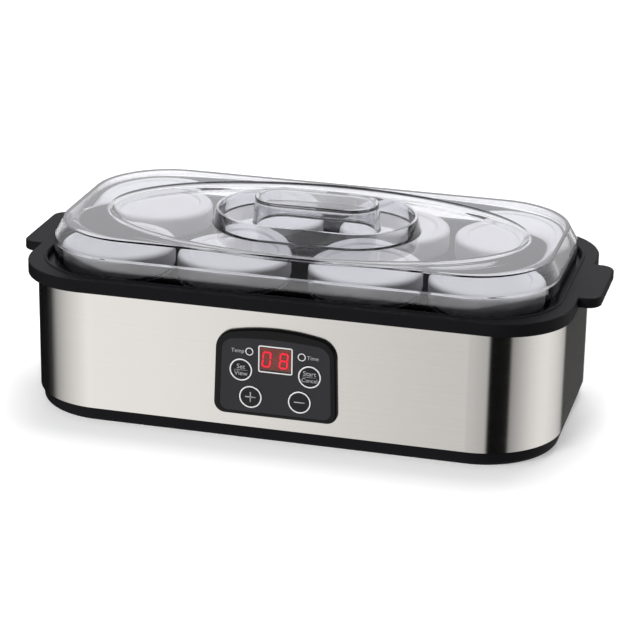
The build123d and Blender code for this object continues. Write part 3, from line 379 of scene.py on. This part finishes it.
def round_oblong(half_x, half_y, corner):
    """Where each ray from the centre meets an oblong with rounded corners: on the straight sides at
    half / |d|, and on a corner arc about c at d.c + sqrt((d.c)^2 - |c|^2 + r^2)."""
    d = np.abs(lid_ray)
    c = np.array([half_x - corner, half_y - corner])
    side = half_x / np.maximum(d[:, 0], 1e-9)
    end = half_y / np.maximum(d[:, 1], 1e-9)
    along = d @ c
    arc = along + np.sqrt(np.maximum(along ** 2 - c @ c + corner ** 2, 0))
    reach = np.where(side * d[:, 1] <= c[1], side, np.where(end * d[:, 0] <= c[0], end, arc))
    return lid_ray * reach[:, None]


def oval(half_x, half_y):
    """Where each ray meets an ellipse: at 1 / sqrt((dx / a)^2 + (dy / b)^2)."""
    reach = 1 / np.sqrt((lid_ray[:, 0] / half_x) ** 2 + (lid_ray[:, 1] / half_y) ** 2)
    return lid_ray * reach[:, None]


# Half length, half depth and corner radius of the lid's skirt, and what each loses up the slope to its top
SKIRT = np.array([162.5, 83.35, 52.0])
SLOPE_LOSS = np.array([5.0, 6.0, 2.0])
SLOPE = 5.5
WALL = 2.2
LID_FOOT = 92.4
SHOULDER = 108.7
INNER_SHOULDER = 106.5
LID_TOP = 119.4
UNDER_TOP = LID_TOP - WALL
RECESS = 115.4
UNDER_RECESS = RECESS - WALL
RIDGE_TOP = 125.2
GRIP_TOP = 133.0
GRIP_ROOF = GRIP_TOP - WALL


def outline(u):
    """The lid's outer plan drawn in by u, a little more on the long sides than at the ends."""
    return round_oblong(*(SKIRT - u / SLOPE * SLOPE_LOSS))


def inner_outline(u):
    """The plan of the lid's inner wall, drawn in by u."""
    return round_oblong(*(SKIRT - WALL - u / SLOPE * SLOPE_LOSS))


def round_ended(half_x, half_y):
    """A family of oblongs whose ends are half circles, drawn in by u on every side."""
    return lambda u: round_oblong(half_x - u, half_y - u, half_y - u)


def ovals(half_x, half_y):
    """A family of ellipses, drawn in by u on every side."""
    return lambda u: oval(half_x - u, half_y - u)


# Half length and half depth of the plans at the lid's middle
GRIP = (40.0, 18.0)
GRIP_HOLLOW = (39.3, 17.3)
RIDGE = (65.0, 41.0)
RECESS_EDGE = (136.5, 73.35)
UNDER_RECESS_EDGE = (138.0, 74.85)
# Each stretch is a family of plans and a profile of (distance drawn in, level, rounding)
lid_stretches = [
    # grip, from its top down to the recess
    (round_ended(*GRIP),
     [(17.0, GRIP_TOP, 0), (0, GRIP_TOP, 0.7), (-1.42, RECESS, 0.4), (-6.0, RECESS, 0)]),
    # raised ring round it
    (round_ended(*RIDGE),
     [(7.0, RECESS, 0), (2.1, RECESS, 0.3), (1.9, RIDGE_TOP, 0.25), (0, RIDGE_TOP, 0.35),
      (-2.25, RECESS, 0.4), (-7.0, RECESS, 0)]),
    # oval wall of the recess, a hollow curve up to a crisp edge
    (ovals(*RECESS_EDGE),
     [(9.5, RECESS, 0), (4.6, RECESS, 8.0), (0, LID_TOP, 0.3), (-1.2, LID_TOP, 0)]),
    # top, slope and skirt
    (outline,
     [(6.95, LID_TOP, 0), (SLOPE, LID_TOP, 0.35), (0, SHOULDER, 0.6), (0, LID_FOOT, 0.5),
      (1.3, LID_FOOT, 0)]),
    # back up the inside
    (inner_outline,
     [(-0.9, LID_FOOT, 0), (0, LID_FOOT, 0.4), (0, INNER_SHOULDER, 0.6), (SLOPE, UNDER_TOP, 0.25),
      (5.7, UNDER_TOP, 0)]),
    # underside of the recess
    (ovals(*UNDER_RECESS_EDGE),
     [(0, UNDER_TOP, 0), (4.6, UNDER_RECESS, 9.0), (9.5, UNDER_RECESS, 0)]),
    # hollow of the grip
    (round_ended(*GRIP_HOLLOW),
     [(-6.0, UNDER_RECESS, 0), (0.15, UNDER_RECESS, 0.7), (1.5, GRIP_ROOF, 1.6), (15.8, GRIP_ROOF, 0)]),
]


def make_lid():
    """One closed clear shell: rings from the middle of the grip's top, out over the ring, recess and skirt,
    and back along the inside.  A row's ring is its stretch's plan drawn in by the row's distance, at the
    row's level."""
    rings = []
    for plan, corners in lid_stretches:
        for u, z in rounded_profile(corners, 6, 0.45):
            ring = plan(u)
            rings.append(np.column_stack([ring, np.full(len(ring), z)]))
    points, faces = capped_rings(np.array(rings), (0, 0, GRIP_TOP), (0, 0, GRIP_ROOF))
    return outward(make_piece("lid_shell", points, faces, "clear_lid", "lid", ("lid",)))


make_lid()


# ---------------------------------------------------------------- control panel
# The ink's thickness, and how far it stands out from the face under it
PRINT_DEPTH = 0.08
LIFT = 0.02


def facing(points_xz, y):
    """Points drawn in X and Z, set at a depth y."""
    flat = np.asarray(points_xz, float)
    return np.column_stack([flat[:, 0], np.full(len(flat), y), flat[:, 1]])


def inlay(loops_xz, front, depth=PRINT_DEPTH):
    """A closed raised strip: rings of equal length at the back outside, front outside, front inside and back
    inside of a band between an outer and an inner loop."""
    outer, inner = loops_xz
    back = front + depth
    points = np.vstack([facing(outer, back), facing(outer, front), facing(inner, front), facing(inner, back)])
    count = len(outer)
    j = np.arange(count)
    k = (j + 1) % count
    closing = np.stack([j + 3 * count, k + 3 * count, k, j], -1)
    return points, grid_faces(4, count) + closing.tolist()


def ring_loops(x, z, outer, inner, count=72):
    """Two circles about (x, z)."""
    a = np.arange(count) / count * TURN
    unit = np.column_stack([np.cos(a), np.sin(a)])
    return unit * outer + (x, z), unit * inner + (x, z)


def box_loop(x, z, half_x, half_z, corner, steps=8):
    """Oblong with rounded corners about (x, z): a quarter arc of radius corner round each corner's centre."""
    quarter = np.linspace(0, TURN / 4, steps)
    loops = []
    for turn, (sx, sz) in enumerate(((1, 1), (-1, 1), (-1, -1), (1, -1))):
        a = quarter + turn * TURN / 4
        centre = (x + sx * (half_x - corner), z + sz * (half_z - corner))
        loops.append(np.column_stack([np.cos(a), np.sin(a)]) * corner + centre)
    return np.vstack(loops)


def slab_faces(count):
    """Faces of a flat plate whose front loop comes before its back loop."""
    i = np.arange(count)
    k = (i + 1) % count
    sides = np.stack([i, k, k + count, i + count], -1)
    front = list(range(count))
    back = list(range(2 * count - 1, count - 1, -1))
    return [front, back] + sides.tolist()


def plate(loop_xz, front, depth=PRINT_DEPTH):
    """A flat plate of one outline."""
    return np.vstack([facing(loop_xz, front), facing(loop_xz, front + depth)]), slab_faces(len(loop_xz))


def bar(x, z, half_x, half_z, front):
    """A small flat bar."""
    return plate(np.array([(x - half_x, z - half_z), (x + half_x, z - half_z),
                           (x + half_x, z + half_z), (x - half_x, z + half_z)]), front)


def lettering(words, size, x, z, front, depth=PRINT_DEPTH):
    """Raised letters of a plain typeface, middle at (x, z), as points and faces in millimetres."""
    curve = bpy.data.curves.new("letters", "FONT")
    curve.body = words
    curve.size = size
    curve.align_x = "CENTER"
    curve.align_y = "CENTER"
    curve.extrude = depth / 2
    curve.resolution_u = 3
    holder = bpy.data.objects.new("letters", curve)
    mesh = bpy.data.meshes.new_from_object(holder)
    flat = np.empty(3 * len(mesh.vertices))
    mesh.vertices.foreach_get("co", flat)
    local = flat.reshape(-1, 3)
    faces = [list(p.vertices) for p in mesh.polygons]
    bpy.data.objects.remove(holder)
    points = np.column_stack([local[:, 0] + x, front + depth / 2 - local[:, 2], local[:, 1] + z])
    return points, faces


def joined(parts):
    """Several pieces of mesh as one."""
    points, faces, first = [], [], 0
    for some_points, some_faces in parts:
        points.append(some_points)
        faces += [[v + first for v in face] for face in some_faces]
        first += len(some_points)
    return np.vstack(points), faces


def make_button(name, middle, marks, signs):
    """Crowned button: rings from the centre of the face, which stands proud by crown * (1 - (r / R)^2),
    over a rounded edge and back along the side, with its ring in white ink and its signs in grey."""
    radius, crown, edge, depth = 7.3, 0.12, 0.5, 2.0
    front = button_front[name] + LIFT
    face = np.linspace(0.4, radius - edge, 8)
    profile = [(r, front + crown * (r / radius) ** 2) for r in face]
    bend = np.linspace(0, TURN / 4, 6)[1:]
    profile += [(radius - edge + edge * math.sin(a), front + crown + edge * (1 - math.cos(a)))
                for a in bend]
    profile += [(radius, front + depth - 0.05), (radius - 0.05, front + depth), (0.4, front + depth)]
    count = 72
    angle = np.arange(count) / count * TURN
    rings = np.array([np.column_stack([middle[0] + r * np.cos(angle), np.full(count, y),
                                       middle[1] + r * np.sin(angle)]) for r, y in profile])
    pole, back_pole = (middle[0], front, middle[1]), (middle[0], front + depth, middle[1])
    points, faces = capped_rings(rings, pole, back_pole)
    outward(make_piece(name + "_face", points, faces, "button_grey", name, (name,)))
    points, faces = joined(marks)
    outward(make_piece(name + "_print", points, faces, "button_grey", name, paint="print_white"))
    points, faces = joined(signs)
    outward(make_piece(name + "_signs", points, faces, "button_grey", name, paint="print_grey"))


# Middle of each button, as (x, z)
BUTTONS = {"button_set": (-21.8, 50.0), "button_start": (21.8, 50.0), "button_plus": (-15.6, 32.6),
           "button_minus": (15.6, 32.6)}
button_front = {name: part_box(name)[0].y / MM for name in BUTTONS}
RING_OUTER, RING_INNER = 7.2, 6.35
SIGN_HALF, SIGN_STROKE = 3.4, 0.38
# The button's crown falls away towards its edge, so the ring's face is set back from the middle's
RING_SET_BACK, RING_DEPTH = 0.09, 0.2
for name, (x, z) in BUTTONS.items():
    face = button_front[name]
    marks = [inlay(ring_loops(x, z, RING_OUTER, RING_INNER), face + RING_SET_BACK, RING_DEPTH)]
    level_bar = bar(x, z, SIGN_HALF, SIGN_STROKE, face)
    if name == "button_plus":
        signs = [level_bar, bar(x, z, SIGN_STROKE, SIGN_HALF, face)]
    elif name == "button_minus":
        signs = [level_bar]
    else:
        upper, lower, lower_size = ("Set", "View", 4.2) if name == "button_set" else ("Start", "Cancel", 3.7)
        signs = [lettering(upper, 4.3, x, z + 2.1, face), lettering(lower, lower_size, x, z - 2.3, face),
                 bar(x, z - 0.1, 4.3, 0.12, face)]
    make_button(name, (x, z), marks, signs)

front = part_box("panel_overlay")[0].y / MM - LIFT
WINDOW_Z = 58.4
LAMP_X, LAMP_Z = 16.6, 62.3
frame_loops = (box_loop(0, WINDOW_Z, 10.9, 8.8, 1.3), box_loop(0, WINDOW_Z, 10.1, 8.0, 0.7))
panel_marks = [inlay(ring_loops(side * LAMP_X, LAMP_Z, 2.55, 1.95, 48), front) for side in (-1, 1)]
panel_marks.append(inlay(frame_loops, front))
panel_words = [lettering("Temp", 3.6, -24.0, 62.2, front), lettering("Time", 3.6, 23.6, 62.2, front)]
for name, parts, ink in (("panel_words", panel_words, "print_grey"),
                         ("panel_print", panel_marks, "print_white")):
    points, faces = joined(parts)
    outward(make_piece(name, points, faces, "panel_grey", "housing", paint=ink))

# Seven-segment digits: (x, z) of each segment's middle in a cell 1 wide and 2 high, and whether it is upright
SEGMENTS = {"a": (0, 1, 0), "b": (0.5, 0.5, 1), "c": (0.5, -0.5, 1), "d": (0, -1, 0),
            "e": (-0.5, -0.5, 1), "f": (-0.5, 0.5, 1), "g": (0, 0, 0)}
DIGIT_HALF = 4.7
DIGIT_WIDTH = 4.6
STROKE = 0.52
LEAN = 0.09
SEGMENT_GAP = 0.16
PROUD_OF_WINDOW = 0.03


def make_digits():
    """Pointed bars at each lit segment, leaning evenly to the right, just proud of the window's face."""
    parts = []
    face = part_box("display_window")[0].y / MM - PROUD_OF_WINDOW
    for centre, lit_segments in ((-5.6, "abcdef"), (5.3, "abcdefg")):
        for key in lit_segments:
            u, v, upright = SEGMENTS[key]
            half = (DIGIT_HALF if upright else DIGIT_WIDTH) / 2 - SEGMENT_GAP
            tip = np.array([(-half, 0), (-half + STROKE, -STROKE), (half - STROKE, -STROKE), (half, 0),
                            (half - STROKE, STROKE), (-half + STROKE, STROKE)])
            shape = tip[:, ::-1] if upright else tip
            x = shape[:, 0] + u * DIGIT_WIDTH
            z = shape[:, 1] + v * DIGIT_HALF
            parts.append(plate(np.column_stack([centre + x + LEAN * z, WINDOW_Z + z]), face))
    points, faces = joined(parts)
    outward(make_piece("display_digits", points, faces, "display_face", "housing", paint="segment_red",
                       flat=True))


make_digits()


# ---------------------------------------------------------------- carried-over pieces
for node in frame["record"]["subparts"]:
    carried = frame["nodes"][node["node"]]
    carried.data.materials.clear()
    carried.data.materials.append(paints[node["material_slot"]])


# ---------------------------------------------------------------- studio
FLOOR_HALF = 4.0
FLOOR_GLOW = 0.4


def make_floor():
    """Wide pale tabletop.  It takes the shadow, and glows to the eye so as to run into the white backdrop;
    gloss and matt surfaces don't see it."""
    corners = [(-FLOOR_HALF, -FLOOR_HALF, 0), (FLOOR_HALF, -FLOOR_HALF, 0), (FLOOR_HALF, FLOOR_HALF, 0),
               (-FLOOR_HALF, FLOOR_HALF, 0)]
    mesh = bpy.data.meshes.new("studio_floor")
    mesh.from_pydata(corners, [], [(0, 1, 2, 3)])
    material, tree = new_tree("pale_paper_floor")
    paper = add(tree, "BsdfDiffuse", Color=linear("#E6E6E6"))
    path = add(tree, "LightPath")
    seen = add(tree, "Math", {"operation": "MAXIMUM"}, _0=path.outputs["Is Camera Ray"],
               _1=path.outputs["Is Transmission Ray"])
    level = add(tree, "Math", {"operation": "MULTIPLY"}, _0=seen.outputs[0], _1=FLOOR_GLOW)
    glow = add(tree, "Emission", Color=linear("#FFFFFF"), Strength=level.outputs[0])
    both = add(tree, "AddShader", _0=paper.outputs[0], _1=glow.outputs[0])
    add(tree, "OutputMaterial", Surface=both.outputs[0])
    mesh.materials.append(material)
    floor = bpy.data.objects.new("studio_floor", mesh)
    bpy.context.scene.collection.objects.link(floor)
    floor.visible_glossy = False
    floor.visible_diffuse = False


make_floor()

# Brightness of the studio walls round the object, as (bearing in degrees from the front, sRGB grey of the
# steel that mirrors it): white screens, with black flags between them.
STUDIO = ((-180, 196), (-172, 196), (-163, 14), (-109, 12), (-95, 50), (-82, 153), (-68, 183), (-54, 202),
          (-41, 216), (-27, 230), (-19, 228), (-16, 217), (-14, 205), (-11, 192), (0.8, 180), (16, 170),
          (20, 12), (47, 12), (51, 140), (56, 152), (69, 180), (83, 203), (97, 216), (110, 219), (124, 209),
          (138, 195), (151, 172), (159, 150), (163, 74), (172, 28), (176, 90), (180, 196))
# The share of a wall's light that the steel sends back, and the brightness that the ramp's white stands for
STEEL_MIRRORS = 0.72
SCREEN_TOP = 1.25
WHITE = (1, 1, 1, 1)
# What gloss sees above the walls: a dark side towards the front and a bright one towards the back
UPPER_FRONT = (0.16, 0.16, 0.17, 1)
UPPER_BACK = (1.15, 1.15, 1.19, 1)
# What is seen through clear plastic, looking up
CEILING = (0.06, 0.06, 0.065, 1)
# What lights matt surfaces: little from the sides, most from straight overhead, a little from below
SOFT_SIDES = (0.01, 0.01, 0.01, 1)
SOFT_OVERHEAD = (0.8, 0.8, 0.82, 1)
SOFT_BELOW = (0.06, 0.06, 0.06, 1)


def make_world():
    """White backdrop to the eye; the studio's screens and flags to metal and gloss; a white horizon under a
    dark ceiling through clear plastic; and a soft light from overhead on everything matt."""
    world = bpy.data.worlds.new("studio")
    bpy.context.scene.world = world
    world.use_nodes = True
    world.cycles.sampling_method = "NONE"
    tree = world.node_tree
    tree.nodes.clear()
    direction = add(tree, "TexCoord").outputs["Generated"]
    axes = add(tree, "SeparateXYZ", Vector=direction)
    x, y, z = (axes.outputs[i] for i in range(3))
    minus_y = add(tree, "Math", {"operation": "MULTIPLY"}, _0=y, _1=-1.0)
    bearing = add(tree, "Math", {"operation": "ARCTAN2"}, _0=x, _1=minus_y.outputs[0])
    share = add(tree, "Math", {"operation": "MULTIPLY_ADD"}, _0=bearing.outputs[0], _1=1 / TURN, _2=0.5)
    ramp = add(tree, "ValToRGB", Fac=share.outputs[0])
    stops = ramp.color_ramp.elements
    while len(stops) > 1:
        stops.remove(stops[-1])
    for index, (degrees, grey) in enumerate(STUDIO):
        place = degrees / 360 + 0.5
        stop = stops[0] if index == 0 else stops.new(place)
        stop.position = place
        value = linear("#" + f"{grey:02X}" * 3)[0] / STEEL_MIRRORS / SCREEN_TOP
        stop.color = (value, value, value, 1)
    walls = add(tree, "Mix", {"data_type": "RGBA", "blend_type": "MULTIPLY"}, Factor=1.0)
    tree.links.new(ramp.outputs[0], walls.inputs[6])
    walls.inputs[7].default_value = (SCREEN_TOP, SCREEN_TOP, SCREEN_TOP, 1)

    def blended(first, second, factor):
        """First mixed to second by a factor; each is a colour or a socket."""
        mix = add(tree, "Mix", {"data_type": "RGBA", "clamp_result": False}, Factor=factor)
        for socket, value in ((6, first), (7, second)):
            if isinstance(value, bpy.types.NodeSocket):
                tree.links.new(value, mix.inputs[socket])
            else:
                mix.inputs[socket].default_value = value
        return mix.outputs[2]

    def rising(low, high, part=z):
        """0 below one value of a part of the direction and 1 above another, smoothly; z is its height."""
        ranged = add(tree, "MapRange", {"interpolation_type": "SMOOTHSTEP"}, Value=part, From_Min=low,
                     From_Max=high)
        return ranged.outputs["Result"]

    # A direction is a unit vector: its y runs from -1 at the front to 1 at the back, its z from below to above
    upper = blended(UPPER_FRONT, UPPER_BACK, rising(-0.25, 0.3, y))
    mirrored = blended(walls.outputs[2], upper, rising(0.05, 0.3))
    refracted = blended(WHITE, CEILING, rising(-0.05, 0.2))
    path = add(tree, "LightPath").outputs
    scattered = add(tree, "Math", {"operation": "GREATER_THAN"}, _0=path["Diffuse Depth"], _1=0.5)
    seen = blended(mirrored, refracted, path["Is Transmission Ray"])
    soft = blended(SOFT_SIDES, SOFT_OVERHEAD, rising(0.78, 0.98))
    soft = blended(SOFT_BELOW, soft, rising(-0.06, 0.0))
    seen = blended(seen, soft, scattered.outputs[0])
    seen = blended(seen, WHITE, path["Is Camera Ray"])
    back = add(tree, "Background", Color=seen, Strength=1.0)
    add(tree, "OutputWorld", Surface=back.outputs[0])


make_world()


def soft_lamp(name, place, aim, size, power):
    """Square softbox lamp at place, facing aim; it lights surfaces but isn't itself seen."""
    lamp = bpy.data.lights.new(name, "AREA")
    lamp.shape = "SQUARE"
    lamp.size = size
    lamp.energy = power
    holder = bpy.data.objects.new(name, lamp)
    bpy.context.scene.collection.objects.link(holder)
    holder.location = place
    holder.rotation_mode = "QUATERNION"
    holder.rotation_quaternion = (Vector(aim) - Vector(place)).to_track_quat("-Z", "Y")
    holder.visible_glossy = False
    holder.visible_camera = False
    holder.visible_transmission = False
    return holder


soft_lamp("top_softbox", (0.1, 0.8, 2.2), (0, 0, 0.1), 1.4, 46)
front_softbox = soft_lamp("front_softbox", (-0.6, -2.2, 0.75), (0, 0, 0.05), 1.0, 54)
# The front lamp is kept off the caps, so that their sides are lit only from overhead
shielded = bpy.data.collections.new("kept_from_front_softbox")
for number in JAR_NUMBERS:
    shielded.objects.link(bpy.data.objects[f"cap_{number}"])
for held in shielded.collection_objects:
    held.light_linking.link_state = "EXCLUDE"
front_softbox.light_linking.receiver_collection = shielded

# ---------------------------------------------------------------- camera
# Place of the lens, and the camera's axes before it is rolled: towards its back, its right and its top
CAMERA_PLACE = (0.3703, -1.4254, 0.6050)
CAMERA_BACK = Vector((0.23335, -0.90637, 0.35218))
CAMERA_RIGHT = Vector((0.96842, 0.24932, 0.0))
CAMERA_UP = Vector((-0.08781, 0.34106, 0.93593))
CAMERA_ROLL = math.radians(0.979)
camera_data = bpy.data.cameras.new("camera")
camera_data.lens = 136.9
camera_data.sensor_width = 36.0
camera_data.clip_start = 0.05
camera_data.clip_end = 50
camera = bpy.data.objects.new("camera", camera_data)
bpy.context.scene.collection.objects.link(camera)
rolled_right = CAMERA_RIGHT * math.cos(CAMERA_ROLL) + CAMERA_UP * math.sin(CAMERA_ROLL)
rolled_up = CAMERA_UP * math.cos(CAMERA_ROLL) - CAMERA_RIGHT * math.sin(CAMERA_ROLL)
axes = Matrix((rolled_right, rolled_up, CAMERA_BACK)).transposed().to_4x4()
camera.matrix_world = Matrix.Translation(CAMERA_PLACE) @ axes
bpy.context.scene.camera = camera
bpy.context.scene.view_settings.view_transform = "Standard"
